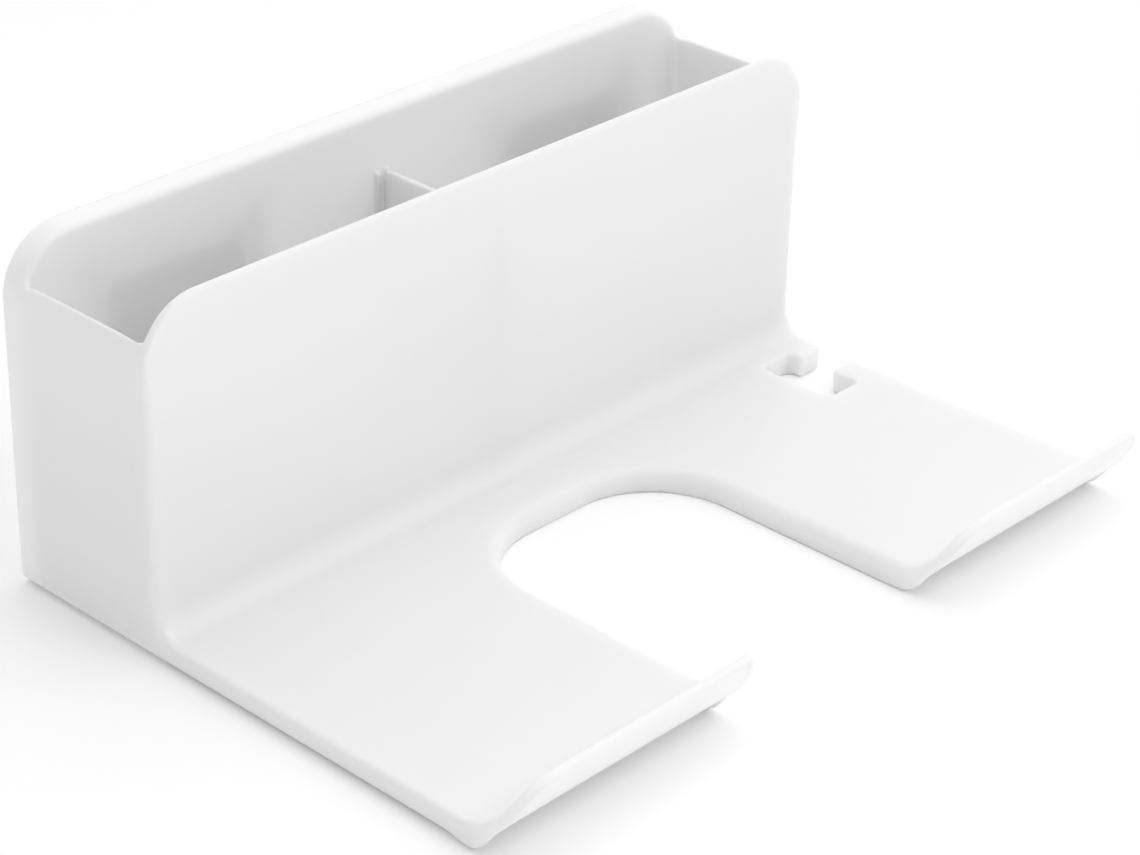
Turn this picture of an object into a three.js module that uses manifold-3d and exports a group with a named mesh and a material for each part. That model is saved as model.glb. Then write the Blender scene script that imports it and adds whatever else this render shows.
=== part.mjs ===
// Wall-hung hair dryer holder with a two-bay trough, a cradle tray and a plug slot.
// Units are millimetres and +Z is up. The wall is the plane Y = 0 of the model space used
// below, the tray reaches out towards -Y, and the last lines move the whole assembly so that
// its origin is at the centre of its footprint, on the level it would stand on.

import * as THREE from 'three';
import { mergeVertices } from 'three/addons/utils/BufferGeometryUtils.js';
import Module from 'manifold-3d';

const wasm = await Module();
wasm.setup();

// ---------------------------------------------------------------- driving dimensions

const WIDTH = 250; // overall, along X
const DEPTH = 182.3; // wall plane to the tips of the lips
const GAP = 0.3; // clearance between pieces that touch or slide

// Trough: an open-topped box between a thick back panel and a thin front panel.
const BOX_DEPTH = 56; // wall plane to the outer face of the front panel
const BACK_HEIGHT = 101.8; // top of the back panel
const FRONT_HEIGHT = 100.5; // top of the front panel
const SIDE_HEIGHT = 90.6; // top of both side walls, between the panels
const BACK_RIM = 8; // depth of the back panel's top face
const WALL = 2.5; // moulded wall thickness
const FLOOR = 3; // trough floor thickness
const PANEL_CORNER = 18; // top corners of both panels, seen from the front
const FOOT_CORNER = 4; // lower side edges
const UPRIGHT_EDGE = 3; // front vertical edges
const INNER_CORNER = 1.5; // vertical corners inside the trough

// Tray: a plate with a skirt all round, its front edge turned up into a lip.
const TRAY_TOP = 7.3; // level of the plate, and height of the skirt
const PLATE = 3.6; // plate thickness
const SKIRT = 2.6; // skirt thickness
const WALL_FILLET = 8; // sweep between the front panel and the plate
const LIP_OUTER = 18.5; // radius of the lip's underside
const LIP_SWEEP = THREE.MathUtils.degToRad(82);
const LIP_MIDDLE = LIP_OUTER - PLATE / 2; // radius of the lip's middle surface
const LIP_START = DEPTH - PLATE / 2 - LIP_MIDDLE * Math.sin(LIP_SWEEP); // where it begins to rise
const SKIRT_REACH = 170; // foot of the slanted skirt ends
const SLANT_ANGLE = THREE.MathUtils.degToRad(54); // slant of those ends above the level

// Cradle: the U-shaped cut-out that a dryer's head hangs in.
const CRADLE_WIDTH = 77.2;
const CRADLE_BACK = 77.5; // distance of its closed end from the wall
const CRADLE_CORNER = 28;

// Plug slot: a neck open to the right edge, and a wider bay behind it.
const SLOT_NECK_NEAR = 70.5; // neck walls, as distances from the wall
const SLOT_NECK_FAR = 82.3;
const SLOT_BAY_NEAR = 66;
const SLOT_BAY_FAR = 92;
const SLOT_BAY_INNER = 100.5; // bay walls, as distances from the middle
const SLOT_BAY_OUTER = 114;
const SLOT_MOUTH_ROUND = 4; // rounding of the neck's outer corners
const SLOT_BAY_ROUND = 2.5;

// Divider, held between two pairs of guide ribs.
const DIVIDER_THICKNESS = 2;
const DIVIDER_TOP = 86.2;
const GUIDE_RIB = 1.4; // width of a rib
const GUIDE_REACH = 1.6; // how far a rib stands out from its panel
const GUIDE_TOP = 84;

// Hangers: dovetail plates bonded to the wall, which the holder slides down over.
const HANGER_OFFSET = 74; // plate centres from the middle
const HANGER_BOTTOM = 50;
const HANGER_HEIGHT = 36;
const HANGER_NARROW = 25; // half width on the wall side
const HANGER_WIDE = 28; // half width on the holder side
const HANGER_CORNER = 5; // lead-in rounding of its top corners
const PAD_THICKNESS = 1;
const HANGER_THICKNESS = 3.1;
const RAIL_SPREAD = 34; // half width over the outside of two rails
const STOP_BAR = 4; // height of the bar that rests on a plate

const OVER = 1; // how far a cutting solid runs past the face it cuts
const ARC_STEPS = 6; // segments in a quarter turn of an ordinary corner

// ---------------------------------------------------------------- solids

/** A closed three.js geometry as a manifold solid. */
function solidOf(geometry) {
  const bare = geometry.index ? geometry.toNonIndexed() : geometry;
  bare.deleteAttribute('normal');
  bare.deleteAttribute('uv');
  const merged = mergeVertices(bare, 1e-4);
  const mesh = new wasm.Mesh({
    numProp: 3,
    vertProperties: new Float32Array(merged.attributes.position.array),
    triVerts: new Uint32Array(merged.index.array),
  });
  return new wasm.Manifold(mesh);
}

/** A manifold solid as a three.js geometry. */
function geometryOf(solid) {
  const mesh = solid.getMesh();
  const geometry = new THREE.BufferGeometry();
  geometry.setAttribute('position', new THREE.BufferAttribute(mesh.vertProperties, 3));
  geometry.setIndex(new THREE.BufferAttribute(mesh.triVerts, 1));
  geometry.computeVertexNormals();
  return geometry;
}

function joined(solids) {
  return solids.reduce((sum, next) => sum.add(next));
}

function extruded(shape, length, curveSegments = ARC_STEPS) {
  return new THREE.ExtrudeGeometry(shape, { depth: length, bevelEnabled: false, curveSegments });
}

/** A plan outline (x, distance from the wall) raised from one level to another. */
function raised(shape, low, high, curveSegments) {
  const geometry = extruded(shape, high - low, curveSegments);
  // A mirrored Y would turn the solid inside out, so it is turned over about X instead.
  geometry.applyMatrix4(new THREE.Matrix4().makeRotationX(Math.PI));
  return solidOf(geometry.translate(0, 0, high));
}

/** A front outline (x, z) carried away from the wall between two distances. */
function deepened(shape, near, far, curveSegments) {
  const geometry = extruded(shape, far - near, curveSegments);
  geometry.rotateX(Math.PI / 2);
  return solidOf(geometry.translate(0, -near, 0));
}

/** A side outline (distance from the wall, z) carried across between two X values. */
function spanned(shape, left, right, curveSegments) {
  const geometry = extruded(shape, right - left, curveSegments);
  const towardsWall = new THREE.Vector3(0, -1, 0);
  const up = new THREE.Vector3(0, 0, 1);
  const leftwards = new THREE.Vector3(-1, 0, 0);
  geometry.applyMatrix4(new THREE.Matrix4().makeBasis(towardsWall, up, leftwards));
  return solidOf(geometry.translate(right, 0, 0));
}

function block(left, right, near, far, low, high) {
  const geometry = new THREE.BoxGeometry(right - left, far - near, high - low);
  return solidOf(geometry.translate((left + right) / 2, -(near + far) / 2, (low + high) / 2));
}

/** A rectangle with its own radius at each corner, given from the lower left, anticlockwise. */
function roundedRectangle(left, right, low, high, radii) {
  const corners = [
    [left, low, Math.PI],
    [right, low, 1.5 * Math.PI],
    [right, high, 0],
    [left, high, 0.5 * Math.PI],
  ];
  const shape = new THREE.Shape();
  corners.forEach(([x, y, start], i) => {
    const r = radii[i];
    const centreX = x + (x === left ? r : -r);
    const centreY = y + (y === low ? r : -r);
    if (i === 0) shape.moveTo(centreX + r * Math.cos(start), centreY + r * Math.sin(start));
    if (r > 0) shape.absarc(centreX, centreY, r, start, start + Math.PI / 2, false);
    else shape.lineTo(x, y);
  });
  shape.closePath();
  return shape;
}

// ---------------------------------------------------------------- trough

function panelOutline(height, inset = 0) {
  const half = WIDTH / 2 - inset;
  const foot = Math.max(FOOT_CORNER - inset, 1);
  const top = PANEL_CORNER - inset;
  const low = inset > 0 ? FLOOR : 0;
  return roundedRectangle(-half, half, low, height - inset, [foot, foot, top, top]);
}

/** The box with its two panels, hollowed from above and behind. */
function trough() {
  const backPanel = deepened(panelOutline(BACK_HEIGHT), 0, BACK_RIM);
  const box = deepened(panelOutline(FRONT_HEIGHT), BACK_RIM, BOX_DEPTH);
  const plan = raised(
    roundedRectangle(-WIDTH / 2, WIDTH / 2, 0, BOX_DEPTH, [0, 0, UPRIGHT_EDGE, UPRIGHT_EDGE]),
    -OVER,
    BACK_HEIGHT + OVER,
  );
  const insideFar = BOX_DEPTH - WALL;
  const shoulder = block(-WIDTH, WIDTH, BACK_RIM, insideFar, SIDE_HEIGHT, BACK_HEIGHT + OVER);
  const inside = WIDTH / 2 - WALL;
  const corners = Array(4).fill(INNER_CORNER);
  const bay = raised(
    roundedRectangle(-inside, inside, BACK_RIM, insideFar, corners),
    FLOOR,
    BACK_HEIGHT + OVER,
    3,
  );
  const recess = deepened(panelOutline(BACK_HEIGHT, WALL), -OVER, BACK_RIM - WALL);
  return backPanel.add(box).intersect(plan).subtract(shoulder).subtract(bay).subtract(recess);
}

/** Four ribs that keep the divider upright, two on each panel. */
function guideRibs() {
  const near = DIVIDER_THICKNESS / 2 + GAP;
  const ribs = [];
  for (const side of [-1, 1]) {
    const [left, right] = [side * near, side * (near + GUIDE_RIB)].sort((a, b) => a - b);
    const frontFace = BOX_DEPTH - WALL;
    ribs.push(block(left, right, BACK_RIM - OVER, BACK_RIM + GUIDE_REACH, FLOOR - OVER, GUIDE_TOP));
    ribs.push(block(left, right, frontFace - GUIDE_REACH, frontFace + OVER, FLOOR - OVER, GUIDE_TOP));
  }
  return joined(ribs);
}

// ---------------------------------------------------------------- hanger sockets

/** Half width of the dovetail at a distance from the wall. */
function dovetailHalf(distance) {
  const near = PAD_THICKNESS + GAP;
  const share = (distance - near) / HANGER_THICKNESS;
  return HANGER_NARROW + share * (HANGER_WIDE - HANGER_NARROW);
}

/** Two undercut rails and a stop bar, moulded in the recess behind the trough. */
function hangerSocket(centre) {
  const back = BACK_RIM - WALL + OVER / 2; // sunk a little into the panel
  const mouth = PAD_THICKNESS;
  const top = HANGER_BOTTOM + HANGER_HEIGHT + GAP;
  const rails = [-1, 1].map((side) => {
    const outline = new THREE.Shape();
    outline.moveTo(side * RAIL_SPREAD, mouth);
    outline.lineTo(side * (dovetailHalf(mouth) + GAP), mouth);
    outline.lineTo(side * (dovetailHalf(back) + GAP), back);
    outline.lineTo(side * RAIL_SPREAD, back);
    outline.closePath();
    return raised(outline, HANGER_BOTTOM, top + STOP_BAR);
  });
  const bar = block(-RAIL_SPREAD, RAIL_SPREAD, mouth, back, top, top + STOP_BAR);
  return joined([...rails, bar]).translate([centre, 0, 0]);
}

// ---------------------------------------------------------------- tray

function cradleOutline(grow = 0) {
  const half = CRADLE_WIDTH / 2 + grow;
  const radius = CRADLE_CORNER + grow;
  const back = CRADLE_BACK - grow;
  return roundedRectangle(-half, half, back, DEPTH + 10, [radius, radius, 0, 0]);
}

/** The plug slot's bay and neck, grown by a margin. */
function slotSolid(low, high, grow = 0) {
  const bay = raised(
    roundedRectangle(
      SLOT_BAY_INNER - grow,
      SLOT_BAY_OUTER + grow,
      SLOT_BAY_NEAR - grow,
      SLOT_BAY_FAR + grow,
      Array(4).fill(SLOT_BAY_ROUND),
    ),
    low,
    high,
    3,
  );
  const neck = block(
    SLOT_BAY_OUTER - OVER,
    WIDTH / 2 + OVER,
    SLOT_NECK_NEAR - grow,
    SLOT_NECK_FAR + grow,
    low,
    high,
  );
  return bay.add(neck);
}

/** What rounds the two outer corners of the plug slot's mouth. */
function slotMouthRounding() {
  const edge = WIDTH / 2;
  return joined(
    [
      [SLOT_NECK_NEAR, -1],
      [SLOT_NECK_FAR, 1],
    ].map(([wall, side]) => {
      const r = SLOT_MOUTH_ROUND;
      const centre = wall + side * r;
      const corner = new THREE.Shape();
      corner.moveTo(edge + OVER, wall - side * OVER);
      corner.lineTo(edge + OVER, centre);
      corner.lineTo(edge, centre);
      corner.absarc(edge - r, centre, r, 0, (-side * Math.PI) / 2, side > 0);
      corner.lineTo(edge - r, wall - side * OVER);
      corner.closePath();
      return raised(corner, -OVER, TRAY_TOP + OVER);
    }),
  );
}

/** The flat part of the tray: plate and skirt, with the cradle and the plug slot cut out. */
function flatTray() {
  const outer = block(-WIDTH / 2, WIDTH / 2, BOX_DEPTH - WALL, LIP_START, 0, TRAY_TOP);
  const hollowLow = -OVER;
  const hollowHigh = TRAY_TOP - PLATE;
  const hollow = block(
    SKIRT - WIDTH / 2,
    WIDTH / 2 - SKIRT,
    BOX_DEPTH + SKIRT,
    LIP_START + OVER,
    hollowLow,
    hollowHigh,
  )
    .subtract(raised(cradleOutline(SKIRT), hollowLow - OVER, hollowHigh + OVER))
    .subtract(slotSolid(hollowLow - OVER, hollowHigh + OVER, SKIRT));
  return outer
    .subtract(hollow)
    .subtract(raised(cradleOutline(), -OVER, TRAY_TOP + OVER))
    .subtract(slotSolid(-OVER, TRAY_TOP + OVER))
    .subtract(slotMouthRounding());
}

/** Side outline of the turned-up lip, from the flat plate to its round tip. */
function lipOutline() {
  const centreZ = TRAY_TOP - PLATE + LIP_OUTER;
  const end = LIP_SWEEP - Math.PI / 2;
  const tipX = LIP_START + LIP_MIDDLE * Math.cos(end);
  const tipZ = centreZ + LIP_MIDDLE * Math.sin(end);
  const lip = new THREE.Shape();
  lip.moveTo(LIP_START - OVER, TRAY_TOP - PLATE);
  lip.absarc(LIP_START, centreZ, LIP_OUTER, -Math.PI / 2, end, false);
  lip.absarc(tipX, tipZ, PLATE / 2, end, end + Math.PI, false);
  lip.absarc(LIP_START, centreZ, LIP_OUTER - PLATE, end, -Math.PI / 2, true);
  lip.lineTo(LIP_START - OVER, TRAY_TOP);
  lip.closePath();
  return lip;
}

/** Side outline of a skirt's slanted front end, up to where it meets the lip. */
function skirtEndOutline() {
  const centreZ = TRAY_TOP - PLATE + LIP_OUTER;
  const meet = SLANT_ANGLE - Math.PI / 2;
  const end = new THREE.Shape();
  end.moveTo(LIP_START - OVER, 0);
  end.lineTo(SKIRT_REACH, 0);
  end.lineTo(
    LIP_START + (LIP_OUTER - PLATE / 3) * Math.cos(meet),
    centreZ + (LIP_OUTER - PLATE / 3) * Math.sin(meet),
  );
  end.absarc(LIP_START, centreZ, LIP_MIDDLE, meet, -Math.PI / 2, true);
  end.lineTo(LIP_START - OVER, TRAY_TOP - PLATE / 2);
  end.closePath();
  return end;
}

/** One front arm's lip with its two skirt ends, between two X values. */
function armFront(left, right) {
  return joined([
    spanned(lipOutline(), left, right),
    spanned(skirtEndOutline(), left, left + SKIRT),
    spanned(skirtEndOutline(), right - SKIRT, right),
  ]);
}

/** The sweep that carries the front panel into the tray. */
function wallFillet() {
  const r = WALL_FILLET;
  const sweep = new THREE.Shape();
  sweep.moveTo(BOX_DEPTH - WALL / 2, TRAY_TOP - PLATE / 2);
  sweep.lineTo(BOX_DEPTH + r, TRAY_TOP - PLATE / 2);
  sweep.lineTo(BOX_DEPTH + r, TRAY_TOP);
  sweep.absarc(BOX_DEPTH + r, TRAY_TOP + r, r, -Math.PI / 2, -Math.PI, true);
  sweep.lineTo(BOX_DEPTH - WALL / 2, TRAY_TOP + r);
  sweep.closePath();
  return spanned(sweep, -WIDTH / 2, WIDTH / 2);
}

/** The whole moulding's limits from the front, with its lower side edges rounded. */
function footLimits() {
  const half = WIDTH / 2;
  const outline = roundedRectangle(-half, half, 0, BACK_HEIGHT, [FOOT_CORNER, FOOT_CORNER, 0, 0]);
  return deepened(outline, 0, DEPTH);
}

function holderBody() {
  const arm = [CRADLE_WIDTH / 2, WIDTH / 2];
  return joined([
    trough(),
    guideRibs(),
    hangerSocket(-HANGER_OFFSET),
    hangerSocket(HANGER_OFFSET),
    flatTray(),
    wallFillet(),
    armFront(-arm[1], -arm[0]),
    armFront(arm[0], arm[1]),
  ]).intersect(footLimits());
}

// ---------------------------------------------------------------- loose pieces

function divider() {
  const near = BACK_RIM + GAP;
  const far = BOX_DEPTH - WALL - GAP;
  const half = DIVIDER_THICKNESS / 2;
  return block(-half, half, near, far, FLOOR + GAP, DIVIDER_TOP);
}

/** A dovetail plate with rounded top corners, which leads the holder on to it. */
function hangerPlate(centre) {
  const near = PAD_THICKNESS + GAP;
  const far = near + HANGER_THICKNESS;
  const top = HANGER_BOTTOM + HANGER_HEIGHT;
  const section = new THREE.Shape();
  section.moveTo(-HANGER_NARROW, near);
  section.lineTo(HANGER_NARROW, near);
  section.lineTo(HANGER_WIDE, far);
  section.lineTo(-HANGER_WIDE, far);
  section.closePath();
  const face = roundedRectangle(-HANGER_WIDE, HANGER_WIDE, HANGER_BOTTOM, top, [
    1,
    1,
    HANGER_CORNER,
    HANGER_CORNER,
  ]);
  return raised(section, HANGER_BOTTOM, top)
    .intersect(deepened(face, near - OVER, far + OVER))
    .translate([centre, 0, 0]);
}

function adhesivePad(centre) {
  const inset = 1;
  const half = HANGER_NARROW - inset;
  const top = HANGER_BOTTOM + HANGER_HEIGHT - inset;
  const face = roundedRectangle(-half, half, HANGER_BOTTOM + inset, top, Array(4).fill(4));
  return deepened(face, 0, PAD_THICKNESS).translate([centre, 0, 0]);
}

// ---------------------------------------------------------------- assembly

const whiteGloss = { color: 0xf2f2f0, roughness: 0.28, metalness: 0 };
const whiteSatin = { color: 0xe9e9e6, roughness: 0.45, metalness: 0 };
const foam = { color: 0xc9ccce, roughness: 0.9, metalness: 0 };

const holder = new THREE.Group();
holder.position.y = DEPTH / 2;

function addPiece(name, solid, look) {
  const mesh = new THREE.Mesh(geometryOf(solid), new THREE.MeshStandardMaterial(look));
  mesh.name = name;
  holder.add(mesh);
}

addPiece('holder_body', holderBody(), whiteGloss);
addPiece('divider', divider(), whiteGloss);
for (const [side, sign] of [
  ['left', -1],
  ['right', 1],
]) {
  addPiece(`hanger_plate_${side}`, hangerPlate(sign * HANGER_OFFSET), whiteSatin);
  addPiece(`adhesive_pad_${side}`, adhesivePad(sign * HANGER_OFFSET), foam);
}

export default holder;
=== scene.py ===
import logging
import math
from dataclasses import dataclass, field
from enum import Enum
from typing import Callable, Optional, Sequence

import bmesh
import bpy
import numpy as np
from mathutils import Matrix, Vector


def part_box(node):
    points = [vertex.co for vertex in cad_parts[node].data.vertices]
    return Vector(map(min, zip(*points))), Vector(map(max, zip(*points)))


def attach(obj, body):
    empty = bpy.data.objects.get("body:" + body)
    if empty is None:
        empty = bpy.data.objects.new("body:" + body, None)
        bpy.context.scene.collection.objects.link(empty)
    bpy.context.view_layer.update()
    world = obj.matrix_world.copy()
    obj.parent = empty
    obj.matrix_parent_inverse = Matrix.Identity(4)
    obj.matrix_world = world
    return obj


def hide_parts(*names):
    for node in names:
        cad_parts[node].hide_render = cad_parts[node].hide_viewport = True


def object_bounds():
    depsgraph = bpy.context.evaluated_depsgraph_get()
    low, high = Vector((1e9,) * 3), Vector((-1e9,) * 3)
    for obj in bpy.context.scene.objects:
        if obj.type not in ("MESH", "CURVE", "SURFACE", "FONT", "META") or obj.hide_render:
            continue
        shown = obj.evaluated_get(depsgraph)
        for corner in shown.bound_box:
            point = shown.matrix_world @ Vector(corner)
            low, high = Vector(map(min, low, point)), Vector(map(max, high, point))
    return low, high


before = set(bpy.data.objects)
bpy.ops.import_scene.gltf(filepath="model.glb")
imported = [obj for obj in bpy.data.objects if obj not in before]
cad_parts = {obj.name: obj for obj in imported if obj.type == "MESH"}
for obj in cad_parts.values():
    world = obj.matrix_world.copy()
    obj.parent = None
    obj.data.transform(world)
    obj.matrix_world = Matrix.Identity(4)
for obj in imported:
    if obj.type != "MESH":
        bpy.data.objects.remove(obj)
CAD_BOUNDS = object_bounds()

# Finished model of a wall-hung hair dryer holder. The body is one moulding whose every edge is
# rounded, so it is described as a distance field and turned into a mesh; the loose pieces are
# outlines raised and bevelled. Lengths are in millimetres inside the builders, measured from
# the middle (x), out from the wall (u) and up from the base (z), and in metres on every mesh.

log = logging.getLogger("holder")

MM = 0.001
WALL_Y = CAD_BOUNDS[1][1]  # the wall plane in the frame, in metres

Array = np.ndarray


# ------------------------------------------------------------------ distance fields


def round_join(a: Array, b: Array, radius: Array) -> Array:
    """Join two fields, with a fillet where their surfaces meet.

    Args:
        a: Distance to the first solid, negative inside.
        b: Distance to the second solid.
        radius: Fillet radius, one number or one for each point.

    Returns:
        The distance to the joined solid.
    """
    corner = np.hypot(np.maximum(radius - a, 0), np.maximum(radius - b, 0))
    return np.maximum(np.minimum(a, b), radius) - corner


def round_keep(a: Array, b: Array, radius: Array) -> Array:
    """Keep what two fields share, with the edge between their surfaces rounded.

    Args:
        a: Distance to the first solid, negative inside.
        b: Distance to the second solid.
        radius: Edge radius, one number or one for each point.

    Returns:
        The distance to the shared solid.
    """
    corner = np.hypot(np.maximum(a + radius, 0), np.maximum(b + radius, 0))
    return np.minimum(np.maximum(a, b), -radius) + corner


def rounded_rectangle(
    p: Array, q: Array, low: tuple[float, float], high: tuple[float, float], radius: Array
) -> Array:
    """Distance to a rectangle with round corners in any two coordinates.

    Args:
        p: First coordinate.
        q: Second coordinate.
        low: The rectangle's low corner.
        high: The rectangle's high corner, whose second value may be an array.
        radius: Corner radius, one number or one for each point.

    Returns:
        The signed distance, negative inside.
    """
    side = np.abs(p - (low[0] + high[0]) / 2) - (high[0] - low[0]) / 2 + radius
    rise = np.abs(q - (low[1] + high[1]) / 2) - (high[1] - low[1]) / 2 + radius
    outside = np.hypot(np.maximum(side, 0), np.maximum(rise, 0))
    return np.minimum(np.maximum(side, rise), 0) + outside - radius


def eased(value: Array, start: float, end: float) -> Array:
    """A share that eases from 0 at start to 1 at end."""
    t = np.clip((value - start) / (end - start), 0, 1)
    return t * t * (3 - 2 * t)


def spaced(stops: Sequence[tuple[float, float]], end: float) -> Array:
    """Grid lines from stretches of even spacing.

    Args:
        stops: Where each stretch starts, and the spacing wanted in it.
        end: Where the last stretch ends.

    Returns:
        The grid lines in rising order.
    """
    lines = []
    edges = [start for start, _ in stops] + [end]
    for (start, step), stop in zip(stops, edges[1:]):
        count = max(1, round((stop - start) / step))
        lines.append(np.linspace(start, stop, count, endpoint=False))
    return np.append(np.concatenate(lines), end)


@dataclass(frozen=True)
class FieldMesher:
    """Turns a distance field into a closed mesh of quads on an uneven grid."""

    distance: Callable[[Array, Array, Array], Array]
    xs: Array
    ys: Array
    zs: Array
    settle_steps: int = 3
    probe: float = 0.01

    def slope(self, points: Array) -> Array:
        """Gradient of the field at points, by central differences."""
        columns = []
        for axis in range(3):
            shift = np.zeros(3)
            shift[axis] = self.probe
            ahead = self.distance(*(points + shift).T)
            behind = self.distance(*(points - shift).T)
            columns.append((ahead - behind) / (2 * self.probe))
        return np.stack(columns, axis=1)

    def normals(self, points: Array) -> Array:
        """Unit normals of the surface nearest to each point."""
        slope = self.slope(points)
        return slope / np.maximum(np.linalg.norm(slope, axis=1, keepdims=True), 1e-9)

    def settled(self, points: Array) -> Array:
        """Points moved on to the surface."""
        for _ in range(self.settle_steps):
            slope = self.slope(points)
            size = np.maximum((slope**2).sum(axis=1, keepdims=True), 0.25)
            points = points - self.distance(*points.T)[:, None] * slope / size
        return points

    def _crossings(self, values: Array, cells: Array) -> Array:
        """The middle of each cell's edge crossings."""
        grid = (self.xs, self.ys, self.zs)
        total = np.zeros((len(cells), 3))
        count = np.zeros((len(cells), 1))
        for axis in range(3):
            others = [other for other in range(3) if other != axis]
            for corner in range(4):
                low = cells.copy()
                low[:, others[0]] += corner & 1
                low[:, others[1]] += corner >> 1
                high = low.copy()
                high[:, axis] += 1
                start = values[tuple(low.T)].astype(float)
                end = values[tuple(high.T)].astype(float)
                crossed = (start < 0) != (end < 0)
                share = start / np.where(crossed, start - end, 1)
                point = np.stack([grid[k][low[:, k]] for k in range(3)], axis=1)
                step = grid[axis][high[:, axis]] - grid[axis][low[:, axis]]
                point[:, axis] += share * step
                total += point * crossed[:, None]
                count += crossed[:, None]
        return total / count

    def _quads(self, inside: Array, number: Array) -> Array:
        """Quads across every grid edge that goes through the surface, facing out."""
        quads = []
        for axis in range(3):
            first, second = (axis + 1) % 3, (axis + 2) % 3
            turned = np.moveaxis(inside, (axis, first, second), (0, 1, 2))
            cells = np.moveaxis(number, (axis, first, second), (0, 1, 2))
            leaving = turned[:-1, 1:-1, 1:-1] & ~turned[1:, 1:-1, 1:-1]
            entering = ~turned[:-1, 1:-1, 1:-1] & turned[1:, 1:-1, 1:-1]
            around = [cells[:, :-1, :-1], cells[:, 1:, :-1], cells[:, 1:, 1:], cells[:, :-1, 1:]]
            quads.append(np.stack([c[leaving] for c in around], axis=1))
            quads.append(np.stack([c[entering] for c in around[::-1]], axis=1))
        return np.concatenate(quads)

    def build(self) -> tuple[Array, Array]:
        """Mesh the field.

        Returns:
            The points, and the quads as rows of four point numbers.
        """
        values = self.distance(
            self.xs[:, None, None], self.ys[None, :, None], self.zs[None, None, :]
        ).astype(np.float32)
        inside = values < 0
        count = np.zeros([n - 1 for n in inside.shape], np.int8)
        for corner in range(8):
            cut = [slice((corner >> k) & 1, inside.shape[k] - 1 + ((corner >> k) & 1)) for k in range(3)]
            count += inside[tuple(cut)]
        mixed = (count > 0) & (count < 8)
        cells = np.argwhere(mixed)
        number = np.full(mixed.shape, -1, np.int32)
        number[mixed] = np.arange(len(cells))
        points = self.settled(self._crossings(values, cells))
        return points, self._quads(inside, number)


# ------------------------------------------------------------------ mesh helpers


def to_frame(points: Array) -> Array:
    """Points in millimetres from the wall, as metres in the frame."""
    return points * MM + np.array([0.0, WALL_Y, 0.0])


def new_piece(name: str, mesh: bpy.types.Mesh) -> bpy.types.Object:
    """A mesh as an object in the scene."""
    piece = bpy.data.objects.new(name, mesh)
    bpy.context.scene.collection.objects.link(piece)
    return piece


def field_piece(name: str, mesher: FieldMesher) -> bpy.types.Object:
    """A piece meshed from a distance field, with the field's own normals.

    Args:
        name: The piece's name.
        mesher: The field and its grid.

    Returns:
        The piece.
    """
    points, quads = mesher.build()
    mesh = bpy.data.meshes.new(name)
    mesh.vertices.add(len(points))
    mesh.vertices.foreach_set("co", to_frame(points).astype(np.float32).ravel())
    mesh.loops.add(quads.size)
    mesh.loops.foreach_set("vertex_index", quads.astype(np.int32).ravel())
    mesh.polygons.add(len(quads))
    mesh.polygons.foreach_set("loop_start", np.arange(0, quads.size, 4, dtype=np.int32))
    mesh.update(calc_edges=True)
    mesh.validate()
    mesh.shade_smooth()
    mesh.normals_split_custom_set_from_vertices(mesher.normals(points).tolist())
    return new_piece(name, mesh)


# ------------------------------------------------------------------ holder body


@dataclass(frozen=True)
class Trough:
    """The open-topped box between the back and front panels."""

    width: float = 250.0
    depth: float = 56.0
    back_height: float = 101.8
    front_height: float = 100.5
    side_height: float = 90.6
    back_rim: float = 8.0
    wall: float = 2.5
    floor: float = 3.0
    panel_corner: float = 18.0
    foot_corner: float = 4.0
    upright_edge: float = 3.0
    rim_edge: float = 1.15
    back_rim_edge: float = 2.2
    inner_corner: float = 1.5

    def outline(self, x: Array, z: Array, top: Array, inset: float = 0.0) -> Array:
        """Distance to the panels' outline, seen from the front."""
        half = self.width / 2 - inset
        low = self.floor if inset else 0.0
        radius = np.where(z > top / 2, self.panel_corner, self.foot_corner)
        return rounded_rectangle(x, z, (-half, low), (half, top - inset), np.maximum(radius - inset, 1))

    def upright_radius(self, z: Array) -> Array:
        """Radius of the front vertical edges, which thins out towards the rim."""
        top = self.front_height
        return self.upright_edge + (self.rim_edge - self.upright_edge) * eased(z, top - 34, top - 12)

    def solid(self, x: Array, u: Array, z: Array) -> Array:
        """Distance to the trough, with its bay and its recess cut out."""
        far = self.depth - self.wall
        forward = np.clip((u - self.back_rim) / (far - self.back_rim), 0, 1)
        top = self.back_height + (self.front_height - self.back_height) * forward
        block = round_keep(self.outline(x, z, top), u - self.depth, self.upright_radius(z))
        block = round_keep(block, -u, 0.6)
        inside = self.width / 2 - self.wall
        bay = round_keep(np.abs(x) - inside, self.floor - z, self.inner_corner)
        opening = round_join(bay, self.side_height - z, self.rim_edge)
        between = np.abs(u - (self.back_rim + far) / 2) - (far - self.back_rim) / 2
        cavity = round_keep(opening, between, self.inner_corner)
        rim = self.back_rim_edge + (self.rim_edge - self.back_rim_edge) * eased(u, 8, 14)
        shell = round_keep(block, -cavity, rim)
        recess = round_keep(
            self.outline(x, z, self.back_height, self.wall), u - self.back_rim + self.wall, 1.0
        )
        return round_keep(shell, -recess, 0.5)


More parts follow.
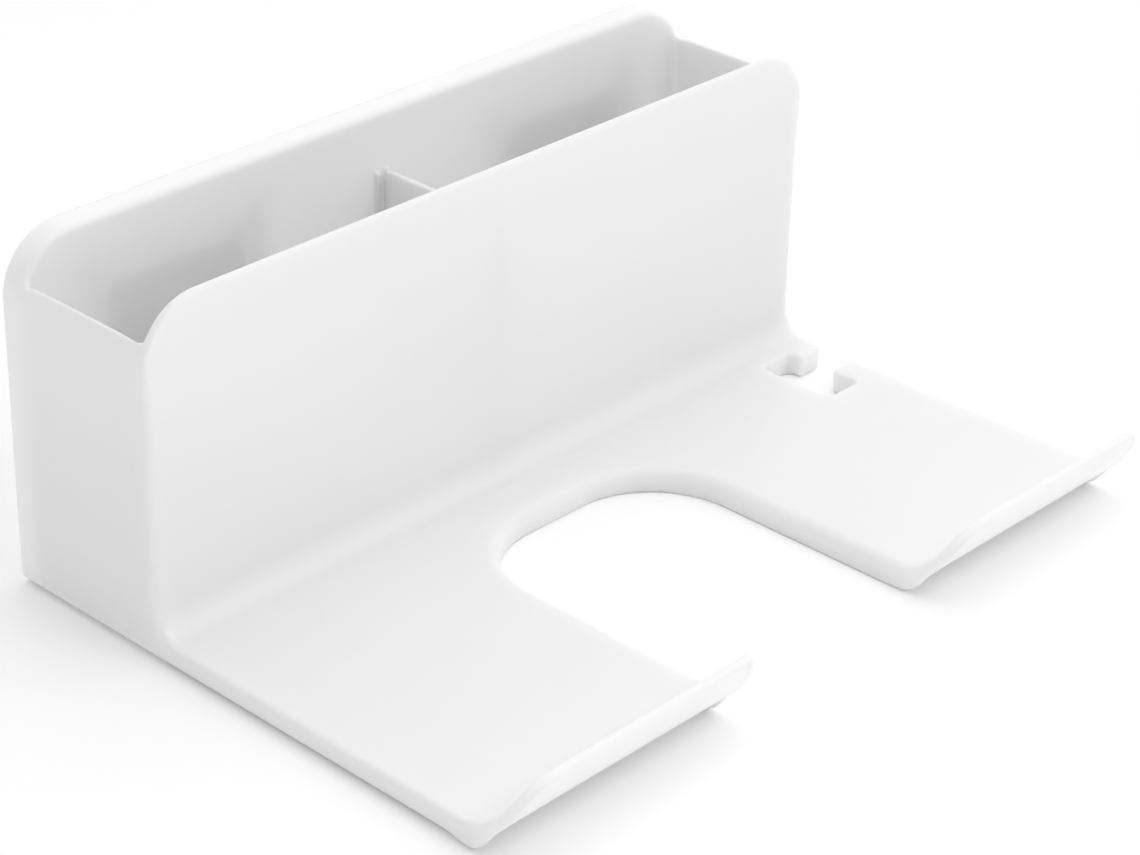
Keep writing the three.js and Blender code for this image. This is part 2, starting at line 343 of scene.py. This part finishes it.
@dataclass(frozen=True)
class Tray:
    """The skirted plate in front of the trough, with its cradle, plug slot and lips."""

    width: float = 250.0
    depth: float = 182.3
    wall_face: float = 56.0
    top: float = 7.3
    plate: float = 3.6
    skirt: float = 2.6
    wall_fillet: float = 8.0
    lip_outer: float = 18.5
    lip_sweep: float = math.radians(82)
    skirt_reach: float = 170.0
    skirt_top: float = 11.0
    skirt_foot_round: float = 3.0
    slant: float = math.radians(54)
    side_edge: float = 2.2
    foot_corner: float = 4.0
    upright_edge: float = 3.0
    cradle_width: float = 77.2
    cradle_back: float = 77.5
    cradle_corner: float = 28.0
    cradle_edge: float = 4.0
    slot_edge: float = 1.1
    slot_neck: tuple[float, float] = (70.5, 82.3)
    slot_bay_u: tuple[float, float] = (66.0, 92.0)
    slot_bay_x: tuple[float, float] = (100.5, 114.0)
    slot_bay_round: float = 2.5
    slot_mouth_round: float = 4.0
    lip_taper: float = 18.0
    taper_edge: tuple[float, float] = (0.05, 1.5)

    @property
    def lip_middle(self) -> float:
        """Radius of the lip's middle surface."""
        return self.lip_outer - self.plate / 2

    @property
    def lip_start(self) -> float:
        """Distance from the wall at which the plate begins to rise."""
        return self.depth - self.plate / 2 - self.lip_middle * math.sin(self.lip_sweep)

    @property
    def lip_centre_z(self) -> float:
        """Height of the lip's centre of curvature."""
        return self.top - self.plate / 2 + self.lip_middle

    def cradle(self, x: Array, u: Array) -> Array:
        """Distance to the cradle cut-out, seen from above."""
        half = self.cradle_width / 2
        far = self.depth + 60
        return rounded_rectangle(x, u, (-half, self.cradle_back), (half, far), self.cradle_corner)

    def slot(self, x: Array, u: Array) -> Array:
        """Distance to the plug slot, seen from above."""
        low, high = zip(self.slot_bay_x, self.slot_bay_u)
        bay = rounded_rectangle(x, u, low, high, self.slot_bay_round)
        middle = sum(self.slot_neck) / 2
        half = (self.slot_neck[1] - self.slot_neck[0]) / 2
        neck = np.maximum(np.abs(u - middle) - half, self.slot_bay_x[1] - 2 - x)
        beyond = self.width / 2 - x
        neck = round_join(neck, beyond, self.slot_mouth_round)
        return round_join(np.maximum(neck, 90 - x), bay, 1.0)

    def plate_profile(self, u: Array, z: Array) -> Array:
        """Distance to the plate and its lip, seen from the side."""
        out = u - self.lip_start
        down = self.lip_centre_z - z
        turn = np.arctan2(out, down)
        arc = np.abs(np.hypot(out, down) - self.lip_middle)
        tip = np.hypot(
            out - self.lip_middle * math.sin(self.lip_sweep),
            down - self.lip_middle * math.cos(self.lip_sweep),
        )
        flat = np.abs(z - self.top + self.plate / 2)
        rising = np.where(turn < self.lip_sweep, arc, tip)
        return np.where(out < 0, flat, rising) - self.plate / 2

    def above_middle(self, u: Array, z: Array) -> Array:
        """Height above the middle surface of the plate and lip, square to it."""
        out = u - self.lip_start
        rising = self.lip_middle - np.hypot(out, self.lip_centre_z - z)
        return np.where(out < 0, z - self.top + self.plate / 2, rising)

    def side_profile(self, u: Array, z: Array) -> Array:
        """Distance to the tray's whole side view, with the skirt filled in."""
        slanted = (u - self.skirt_reach) * math.sin(self.slant) - z * math.cos(self.slant)
        foot = round_keep(-z, slanted, self.skirt_foot_round)
        under_top = self.above_middle(u, z) - self.plate / 2
        below_crown = np.where(u < self.lip_start, -self.top, z - self.skirt_top)
        skirt = np.maximum(np.maximum(foot, under_top), below_crown)
        arm = np.minimum(self.plate_profile(u, z), skirt)
        swept = round_join(arm, u - self.wall_face, self.wall_fillet)
        return np.maximum(swept, -z)

    def edge_radius(self, u: Array, z: Array, flat: float, foot: float) -> Array:
        """Radius of an edge: one value on top, one at the foot, and finer on the lips."""
        thin = self.plate / 2 - 0.1
        low = self.top / 2
        on_flat = np.where(z > low, flat, foot)
        return on_flat + (thin - on_flat) * eased(u, self.lip_start - 6, self.lip_start + 8)

    def solid(self, x: Array, u: Array, z: Array) -> Array:
        """Distance to the tray, hollow underneath and cut off inside the front panel."""
        side = self.edge_radius(u, z, self.side_edge, self.foot_corner)
        side = side + (self.upright_edge - self.side_edge) * eased(z, 8, 20) * (u < 80)
        body = round_keep(self.side_profile(u, z), np.abs(x) - self.width / 2, side)
        body = round_keep(body, -self.cradle(x, u), self.edge_radius(u, z, self.cradle_edge, 0.6))
        body = round_keep(body, -self.slot(x, u), self.slot_edge)
        body = self.with_tapered_ends(body, x, u, z)
        inset = np.maximum(np.abs(x) - self.width / 2, -self.cradle(x, u))
        inset = np.maximum(inset, -self.slot(x, u)) + self.skirt
        inset = np.maximum(inset, self.wall_face + self.skirt - u)
        under = self.above_middle(u, z) + self.plate / 2
        hollow = round_keep(inset, under, 1.0)
        body = round_keep(body, -hollow, 0.6)
        root = np.minimum(np.maximum(self.wall_face - 1.5 - u, z - 30), self.corner_root(x, u, z))
        return np.maximum(body, root)

    def with_tapered_ends(self, body: Array, x: Array, u: Array, z: Array) -> Array:
        """Round off each lip's left end, so that it rises out of the tray's corner.

        Args:
            body: Distance to the tray so far.
            x: Distance from the middle.
            u: Distance from the wall.
            z: Height.

        Returns:
            The distance to the tray with both left ends tapered.
        """
        out = u - self.lip_start
        turn = np.arctan2(np.maximum(out, 0), self.lip_centre_z - z)
        along = np.where(out > 0, self.lip_middle * turn, out)
        reach = self.lip_middle * self.lip_sweep + self.plate / 2
        start = np.where(x < 0, -self.width / 2, self.cradle_width / 2)
        beside = np.maximum(self.lip_taper - (x - start), 0)
        beyond = np.maximum(along - reach + self.lip_taper, 0)
        corner = np.where(beyond > 0, np.hypot(beside, beyond) - self.lip_taper, -self.lip_taper)
        least, more = self.taper_edge
        return round_keep(body, corner, least + more * eased(beyond, 0, 6))

    def corner_root(self, x: Array, u: Array, z: Array) -> Array:
        """Where the tray runs on into the trough's floor and side walls."""
        behind = self.wall_face - 5 - u
        beside = np.maximum(self.width / 2 - 2.4 - np.abs(x), z - 30)
        return np.maximum(behind, np.minimum(beside, z - 2.9))


@dataclass(frozen=True)
class GuideRibs:
    """Two pairs of ribs that keep the divider upright."""

    near: float = 1.3
    width: float = 1.4
    reach: float = 1.6
    top: float = 84.0

    def solid(self, x: Array, u: Array, z: Array, trough: Trough) -> Array:
        """Distance to the four ribs."""
        low, high = self.near, self.near + self.width
        across = np.abs(np.abs(x) - (low + high) / 2) - (high - low) / 2
        faces = (trough.back_rim, trough.depth - trough.wall)
        out = np.minimum(u - faces[0], faces[1] - u)
        body = round_keep(across, out - self.reach, 0.5)
        body = round_keep(body, z - self.top, 0.5)
        return np.maximum(body, np.maximum(-1.2 - out, trough.floor - 1 - z))


@dataclass(frozen=True)
class HangerSockets:
    """Dovetail sockets in the recess, one for each hanger plate."""

    offset: float = 74.0
    bottom: float = 50.0
    top: float = 86.3
    bar: float = 4.0
    spread: float = 34.0
    mouth: float = 1.0
    narrow: float = 25.3
    wide: float = 28.3
    narrow_at: float = 1.3
    wide_at: float = 4.4

    def solid(self, x: Array, u: Array, z: Array, trough: Trough) -> Array:
        """Distance to both sockets."""
        across = np.abs(np.abs(x) - self.offset)
        lean = (self.wide - self.narrow) / (self.wide_at - self.narrow_at)
        tail = self.narrow + lean * (u - self.narrow_at)
        back = trough.back_rim - trough.wall + 0.6
        slope = math.hypot(1, lean)
        opening = np.maximum((across - tail) / slope, z - self.top)
        block = round_keep(across - self.spread, z - self.top - self.bar, 1.5)
        block = round_keep(block, self.mouth - u, 0.5)
        block = np.maximum(block, np.maximum(self.bottom - z, u - back))
        return round_keep(block, -opening, 0.3)


class HolderBody:
    """The holder's one large moulding."""

    NODE = "holder_body"

    def __init__(self) -> None:
        """Take the overall sizes from the frame."""
        low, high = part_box(self.NODE)
        width = (high[0] - low[0]) / MM
        self.trough = Trough(width=width, back_height=high[2] / MM)
        self.tray = Tray(width=width, depth=(WALL_Y - CAD_BOUNDS[0][1]) / MM)
        self.ribs = GuideRibs()
        self.sockets = HangerSockets()

    def distance(self, x: Array, y: Array, z: Array) -> Array:
        """Distance to the moulding's surface, negative inside, with y towards the wall."""
        u = -y
        body = np.minimum(self.trough.solid(x, u, z), self.tray.solid(x, u, z))
        body = round_join(body, self.ribs.solid(x, u, z, self.trough), 0.5)
        return round_join(body, self.sockets.solid(x, u, z, self.trough), 0.5)

    def grid(self) -> tuple[Array, Array, Array]:
        """Grid lines that are close together where the shape has edges.

        Returns:
            The lines along x, y and z, in millimetres.
        """
        half = self.trough.width / 2 + 0.8
        right = [(0, 0.4), (4, 4.0), (12, 2.0), (34, 0.9), (50, 4.0), (97, 1.0), (118, 0.8)]
        xs = spaced(right, half)
        depth = self.tray.depth
        out = [(-0.8, 0.7), (10, 5.0), (50, 0.85), (66, 0.95), (95, 2.0), (108, 6.0), (156, 0.8)]
        us = spaced(out, depth + 0.8)
        up = [(-0.8, 0.65), (9, 0.9), (24, 6.0), (48, 1.0), (52, 6.0), (82, 0.8)]
        zs = spaced(up, self.trough.back_height + 0.8)
        return np.concatenate([-xs[:0:-1], xs]), -us[::-1], zs

    def build(self) -> bpy.types.Object:
        """Mesh the moulding."""
        mesher = FieldMesher(self.distance, *self.grid())
        piece = field_piece("moulded_body", mesher)
        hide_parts(self.NODE)
        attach(piece, "holder")
        return piece


# ------------------------------------------------------------------ loose pieces


Outline = list[tuple[float, float]]


def rounded_outline(corners: Outline, radius: float, steps: int = 7) -> Outline:
    """An outline with each corner replaced by an arc.

    Args:
        corners: The corners, in order.
        radius: The arcs' radius.
        steps: Points on each arc after its first.

    Returns:
        The rounded outline's points.
    """
    points: Outline = []
    for index, corner in enumerate(corners):
        here = Vector(corner)
        back = (Vector(corners[index - 1]) - here).normalized()
        ahead = (Vector(corners[(index + 1) % len(corners)]) - here).normalized()
        half = back.angle(ahead) / 2
        centre = here + (back + ahead).normalized() * radius / math.sin(half)
        start = here + back * radius / math.tan(half) - centre
        end = here + ahead * radius / math.tan(half) - centre
        for step in range(steps + 1):
            arm = start.slerp(end, step / steps) if start.angle(end) > 1e-4 else start
            points.append(tuple(centre + arm))
    return points


def raised_piece(
    name: str, outline: Outline, place: Matrix, height: float, edge: float
) -> bpy.types.Object:
    """An outline raised into a plate with rounded rims.

    Args:
        name: The piece's name.
        outline: Points around the outline, in millimetres.
        place: Takes the outline's plane to the frame, in metres.
        height: The plate's thickness, in millimetres.
        edge: Radius of its rims, in millimetres.

    Returns:
        The piece.
    """
    shape = bmesh.new()
    base = [shape.verts.new((p * MM, q * MM, 0.0)) for p, q in outline]
    lower = shape.faces.new(base)
    lifted = bmesh.ops.extrude_face_region(shape, geom=[lower])["geom"]
    moved = [v for v in lifted if isinstance(v, bmesh.types.BMVert)]
    bmesh.ops.translate(shape, verts=moved, vec=(0.0, 0.0, height * MM))
    bmesh.ops.recalc_face_normals(shape, faces=shape.faces)
    rims = [e for e in shape.edges if abs(e.verts[0].co.z - e.verts[1].co.z) < 1e-9]
    bmesh.ops.bevel(
        shape, geom=rims, offset=edge * MM, segments=4, profile=0.5, affect="EDGES", clamp_overlap=True
    )
    bmesh.ops.transform(shape, matrix=place, verts=shape.verts)
    bmesh.ops.recalc_face_normals(shape, faces=shape.faces)
    mesh = bpy.data.meshes.new(name)
    shape.to_mesh(mesh)
    shape.free()
    mesh.shade_smooth()
    mesh.set_sharp_from_angle(angle=math.radians(50))
    return new_piece(name, mesh)


def axes_to_frame(first: Vector, second: Vector, third: Vector, origin: Vector) -> Matrix:
    """A matrix that takes three local axes and an origin to the frame."""
    turned = Matrix((first, second, third)).transposed().to_4x4()
    return Matrix.Translation(origin) @ turned


@dataclass
class Divider:
    """The loose plate that parts the trough into two bays."""

    node: str = "divider"
    corner: float = 2.5
    edge: float = 0.6

    def build(self) -> bpy.types.Object:
        """Raise the plate in the place that the frame gives it."""
        low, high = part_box(self.node)
        depth, height, thickness = ((high - low)[k] / MM for k in (1, 2, 0))
        corners = [(0.0, 0.0), (depth, 0.0), (depth, height), (0.0, height)]
        outline = rounded_outline(corners, self.corner)
        place = axes_to_frame(Vector((0, 1, 0)), Vector((0, 0, 1)), Vector((1, 0, 0)), low)
        piece = raised_piece("divider_plate", outline, place, thickness, self.edge)
        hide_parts(self.node)
        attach(piece, "divider")
        return piece


class Side(Enum):
    """The two hangers, as seen from the front."""

    LEFT = "left"
    RIGHT = "right"


@dataclass
class Hanger:
    """A dovetail plate and the foam pad that fixes it to the wall."""

    side: Side
    flare: float = 3.0
    corner: float = 5.0
    pad_corner: float = 4.0
    plate_edge: float = 0.35
    pad_edge: float = 0.25

    def raised(self, name: str, node: str, corner: float, edge: float) -> bpy.types.Object:
        """Raise one of the two plates out from the wall, in its node's place.

        Args:
            name: The piece's name.
            node: The CAD node that it stands for.
            corner: Radius of its outline's corners, in millimetres.
            edge: Radius of its rims, in millimetres.

        Returns:
            The piece, which stays on the wall.
        """
        low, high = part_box(node)
        width, thickness, height = ((high - low)[k] / MM for k in range(3))
        corners = [(0.0, 0.0), (width, 0.0), (width, height), (0.0, height)]
        outline = rounded_outline(corners, corner)
        start = Vector((low.x, high.y, low.z))
        place = axes_to_frame(Vector((1, 0, 0)), Vector((0, 0, 1)), Vector((0, -1, 0)), start)
        piece = raised_piece(name, outline, place, thickness, edge)
        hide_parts(node)
        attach(piece, "wall_mount")
        return piece

    def plate(self) -> bpy.types.Object:
        """The dovetail plate: narrow towards the wall, wide in its socket."""
        node = f"hanger_plate_{self.side.value}"
        low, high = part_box(node)
        piece = self.raised(f"hanger_{self.side.value}", node, self.corner, self.plate_edge)
        middle = (low.x + high.x) / 2
        for vertex in piece.data.vertices:
            share = 1 - (high.y - vertex.co.y) / (high.y - low.y)
            vertex.co.x -= math.copysign(self.flare * MM, vertex.co.x - middle) * share
        return piece

    def pad(self) -> bpy.types.Object:
        """The foam pad behind the plate."""
        side = self.side.value
        return self.raised(f"foam_pad_{side}", f"adhesive_pad_{side}", self.pad_corner, self.pad_edge)


# ------------------------------------------------------------------ shader nodes


Value = float | tuple | bpy.types.NodeSocket


@dataclass(frozen=True)
class Signal:
    """One number carried by a shader socket, used in ordinary arithmetic."""

    socket: bpy.types.NodeSocket

    def _math(self, operation: str, *values: "Signal | float") -> "Signal":
        """Add a Math node fed by these values."""
        tree = self.socket.id_data
        node = tree.nodes.new("ShaderNodeMath")
        node.operation = operation
        for slot, value in zip(node.inputs, values):
            if isinstance(value, Signal):
                tree.links.new(value.socket, slot)
            else:
                slot.default_value = value
        return Signal(node.outputs[0])

    def __add__(self, other: "Signal | float") -> "Signal":
        """This plus other."""
        return self._math("ADD", self, other)

    __radd__ = __add__

    def __mul__(self, other: "Signal | float") -> "Signal":
        """This times other."""
        return self._math("MULTIPLY", self, other)

    __rmul__ = __mul__

    def __sub__(self, other: "Signal | float") -> "Signal":
        """This less other."""
        return self._math("SUBTRACT", self, other)

    def __rsub__(self, other: float) -> "Signal":
        """Other less this."""
        return self._math("SUBTRACT", other, self)

    def at_least(self, low: float) -> "Signal":
        """This, or low where that is more."""
        return self._math("MAXIMUM", self, low)

    def clipped(self) -> "Signal":
        """This kept between 0 and 1."""
        return self._math("MINIMUM", self.at_least(0.0), 1.0)


class NodeBench:
    """A node tree, with one way to add any node."""

    def __init__(self, tree: bpy.types.NodeTree) -> None:
        """Start with an empty tree."""
        self.tree = tree
        self.tree.nodes.clear()

    def feed(self, socket: bpy.types.NodeSocket, value: "Signal | Value") -> None:
        """Link a socket, or set its value."""
        if isinstance(value, Signal):
            self.tree.links.new(value.socket, socket)
        elif isinstance(value, bpy.types.NodeSocket):
            self.tree.links.new(value, socket)
        else:
            socket.default_value = value

    def node(
        self,
        kind: str,
        settings: Optional[dict[str, object]] = None,
        sockets: Optional[dict[str | int, "Signal | Value"]] = None,
    ) -> bpy.types.Node:
        """Add a node.

        Args:
            kind: The node's type, without its ShaderNode prefix.
            settings: Properties, which are set before its sockets.
            sockets: Values or links, by socket name or number.

        Returns:
            The node.
        """
        made = self.tree.nodes.new("ShaderNode" + kind)
        for key, setting in (settings or {}).items():
            setattr(made, key, setting)
        for key, value in (sockets or {}).items():
            self.feed(made.inputs[key], value)
        return made


class FinishBench(NodeBench):
    """The node tree of one finish, around its shader."""

    def __init__(self, name: str) -> None:
        """Start a material that holds only its shader and its output."""
        self.material = bpy.data.materials.new(name)
        self.material.use_nodes = True
        super().__init__(self.material.node_tree)
        self.shader = self.node("BsdfPrincipled")
        self.node("OutputMaterial", None, {"Surface": self.shader.outputs["BSDF"]})

    def place(self) -> bpy.types.NodeSocket:
        """The piece's own coordinates, in metres."""
        return self.node("TexCoord").outputs["Object"]

    def noise(self, scale: float, detail: float = 2.0, rough: float = 0.5) -> Signal:
        """Cloudy noise with a given number of blobs in each metre."""
        values = {"Vector": self.place(), "Scale": scale, "Detail": detail, "Roughness": rough}
        made = self.node("TexNoise", None, values)
        return Signal(made.outputs["Fac"])

    def blend(self, share: Signal, low: tuple, high: tuple) -> bpy.types.NodeSocket:
        """A colour between two, by a share from 0 to 1."""
        settings = {"data_type": "RGBA", "clamp_factor": True}
        return self.node("Mix", settings, {0: share, 6: (*low, 1.0), 7: (*high, 1.0)}).outputs[2]

    def bump(
        self, height: Signal, depth: float, under: Optional[bpy.types.NodeSocket] = None
    ) -> bpy.types.NodeSocket:
        """A bump whose full swing is depth metres, over another bump if one is given."""
        values = {"Strength": 1.0, "Distance": depth, "Height": height}
        if under is not None:
            values["Normal"] = under
        return self.node("Bump", None, values).outputs[0]


@dataclass(frozen=True)
class MouldedWhite:
    """White ABS from a polished mould, with slight flow marks and handling scuffs."""

    name: str = "white_gloss_plastic"
    bright: tuple[float, float, float] = (0.935, 0.937, 0.935)
    shade: tuple[float, float, float] = (0.925, 0.928, 0.925)
    roughness: float = 0.35
    spread: float = 0.05
    seep: float = 0.8
    seep_depth: float = 0.006
    ripple: float = 0.000006
    pebble: float = 0.0000002

    def make(self) -> bpy.types.Material:
        """Build the material's nodes."""
        bench = FinishBench(self.name)
        cloud = bench.noise(18.0, 3.0)
        scuff = bench.noise(140.0, 1.0)
        fine = (bench.noise(2400.0, 1.0) - 0.5) * 2.0
        shader = bench.shader
        bench.feed(shader.inputs["Base Color"], bench.blend((cloud - 0.3) * 2.5, self.shade, self.bright))
        bench.feed(
            shader.inputs["Roughness"],
            self.roughness + (cloud - 0.5) * self.spread + (scuff - 0.5) * (self.spread / 2),
        )
        ripple = bench.bump(bench.noise(55.0, 1.5), self.ripple)
        bench.feed(shader.inputs["Normal"], bench.bump(fine, self.pebble, ripple))
        shader.inputs["IOR"].default_value = 1.52
        shader.inputs["Subsurface Weight"].default_value = self.seep
        shader.inputs["Subsurface Radius"].default_value = (1.0, 1.0, 1.0)
        shader.inputs["Subsurface Scale"].default_value = self.seep_depth
        return bench.material


@dataclass(frozen=True)
class SatinWhite:
    """White ABS from a lightly blasted mould."""

    name: str = "white_satin_plastic"
    bright: tuple[float, float, float] = (0.925, 0.927, 0.923)
    shade: tuple[float, float, float] = (0.91, 0.912, 0.907)
    roughness: float = 0.42
    grain: float = 0.000006

    def make(self) -> bpy.types.Material:
        """Build the material's nodes."""
        bench = FinishBench(self.name)
        cloud = bench.noise(30.0, 3.0)
        grain = bench.noise(3200.0, 3.0, 0.6)
        shader = bench.shader
        bench.feed(shader.inputs["Base Color"], bench.blend((cloud - 0.3) * 2.5, self.shade, self.bright))
        bench.feed(shader.inputs["Roughness"], self.roughness + (grain - 0.5) * 0.12 + (cloud - 0.5) * 0.06)
        bench.feed(shader.inputs["Normal"], bench.bump(grain, self.grain))
        shader.inputs["IOR"].default_value = 1.52
        return bench.material


@dataclass(frozen=True)
class ClosedCellFoam:
    """Off-white foam tape with small cells."""

    name: str = "foam_tape"
    wall: tuple[float, float, float] = (0.72, 0.72, 0.69)
    cell: tuple[float, float, float] = (0.52, 0.52, 0.49)
    depth: float = 0.00012

    def make(self) -> bpy.types.Material:
        """Build the material's nodes."""
        bench = FinishBench(self.name)
        cells = bench.node("TexVoronoi", {"feature": "F1"}, {"Vector": bench.place(), "Scale": 1400.0})
        size = Signal(cells.outputs["Distance"])
        shader = bench.shader
        bench.feed(shader.inputs["Base Color"], bench.blend((size * 1.6).clipped(), self.cell, self.wall))
        bench.feed(shader.inputs["Roughness"], 0.82 + (bench.noise(400.0) - 0.5) * 0.1)
        bench.feed(shader.inputs["Normal"], bench.bump(size, self.depth))
        return bench.material


class Finish(Enum):
    """The record's finish slots, each with the material that dresses it."""

    GLOSS = ("white_gloss_abs", MouldedWhite())
    SATIN = ("white_satin_abs", SatinWhite())
    FOAM = ("foam_tape", ClosedCellFoam())

    def dress(self, piece: bpy.types.Object) -> None:
        """Give a piece this finish's material."""
        slot, finish = self.value
        made = bpy.data.materials.get(finish.name) or finish.make()
        piece.data.materials.clear()
        piece.data.materials.append(made)


# ------------------------------------------------------------------ setting


@dataclass(frozen=True)
class SoftPanel:
    """A square area light aimed at a point."""

    name: str
    place: tuple[float, float, float]
    aim: tuple[float, float, float]
    size: float
    power: float

    def build(self) -> None:
        """Add the light."""
        lamp = bpy.data.lights.new(self.name, "AREA")
        lamp.shape = "SQUARE"
        lamp.size = self.size
        lamp.energy = self.power
        panel = bpy.data.objects.new(self.name, lamp)
        panel.location = self.place
        towards = Vector(self.aim) - Vector(self.place)
        panel.rotation_euler = towards.to_track_quat("-Z", "Y").to_euler()
        bpy.context.scene.collection.objects.link(panel)


@dataclass
class Studio:
    """A pale floor, soft panels and a sky that is dimmer to the left."""

    sky: float = 0.53
    sky_rise: float = 0.40
    sky_lean: float = 0.46
    sky_fall: float = 0.12
    sky_least: float = 0.45
    floor_glow: float = 0.07
    floor_shade: float = 0.96
    panels: list[SoftPanel] = field(
        default_factory=lambda: [
            SoftPanel("key_panel", (0.1, -0.95, 1.2), (0.0, -0.02, 0.04), 0.9, 3.6),
            SoftPanel("top_panel", (0.0, 0.25, 1.3), (0.0, 0.0, 0.04), 1.0, 1.6),
        ]
    )

    def floor(self) -> None:
        """A wide pale floor."""
        mesh = bpy.data.meshes.new("studio_floor")
        shape = bmesh.new()
        bmesh.ops.create_grid(shape, x_segments=1, y_segments=1, size=6.0)
        shape.to_mesh(mesh)
        shape.free()
        piece = new_piece("studio_floor", mesh)
        bench = FinishBench("pale_floor")
        tone = self.floor_shade
        cloud = bench.noise(3.0, 2.0)
        colour = bench.blend(cloud, (tone, tone, tone), (tone + 0.01,) * 3)
        bench.feed(bench.shader.inputs["Base Color"], colour)
        bench.shader.inputs["Roughness"].default_value = 0.9
        bench.shader.inputs["Specular IOR Level"].default_value = 0.0
        bench.shader.inputs["Emission Color"].default_value = (1.0, 1.0, 1.0, 1.0)
        bench.shader.inputs["Emission Strength"].default_value = self.floor_glow
        mesh.materials.append(bench.material)

    def lights(self) -> None:
        """The sky, and every panel."""
        world = bpy.data.worlds.new("soft_sky")
        world.use_nodes = True
        bench = NodeBench(world.node_tree)
        heading = bench.node("TexCoord").outputs["Generated"]
        split = bench.node("SeparateXYZ", None, {0: heading})
        across, away, up = (Signal(part) for part in split.outputs)
        strength = self.sky + up * self.sky_rise + across * self.sky_lean + away * self.sky_fall
        glow = bench.node("Background", None, {"Strength": strength.at_least(self.sky_least)})
        glow.inputs["Color"].default_value = (1.0, 1.0, 1.0, 1.0)
        bench.node("OutputWorld", None, {"Surface": glow.outputs[0]})
        bpy.context.scene.world = world
        for panel in self.panels:
            panel.build()
        view = bpy.context.scene.view_settings
        view.view_transform = "Standard"
        view.look = "None"
        view.exposure = 0.0


@dataclass(frozen=True)
class Viewpoint:
    """The camera, a little above the holder and off to its left."""

    place: tuple[float, float, float] = (-0.54584, -0.49567, 0.43706)
    right: tuple[float, float, float] = (0.69420, -0.71960, 0.01605)
    up: tuple[float, float, float] = (0.32340, 0.33175, 0.88620)
    lens: float = 98.55
    shift: tuple[float, float] = (0.029, -0.0506)

    def build(self) -> None:
        """Add the camera and make it the scene's."""
        data = bpy.data.cameras.new("studio_camera")
        data.lens = self.lens
        data.sensor_width = 36.0
        data.shift_x, data.shift_y = self.shift
        data.clip_start = 0.01
        camera = bpy.data.objects.new("studio_camera", data)
        right, up = Vector(self.right).normalized(), Vector(self.up).normalized()
        place = axes_to_frame(right, up, right.cross(up), Vector(self.place))
        camera.matrix_world = place
        bpy.context.scene.collection.objects.link(camera)
        bpy.context.scene.camera = camera


# ------------------------------------------------------------------ all together


def main() -> None:
    """Build the holder, dress every piece, and set the studio around it."""
    logging.basicConfig(level=logging.INFO, format="%(name)s: %(message)s")
    Viewpoint().build()
    made = [(HolderBody().build(), Finish.GLOSS), (Divider().build(), Finish.GLOSS)]
    for side in Side:
        hanger = Hanger(side)
        made += [(hanger.plate(), Finish.SATIN), (hanger.pad(), Finish.FOAM)]
    for piece, finish in made:
        finish.dress(piece)
        log.info("%s in %s, %d faces", piece.name, finish.value[0], len(piece.data.polygons))
    studio = Studio()
    studio.floor()
    studio.lights()


if __name__ == "__main__":
    main()
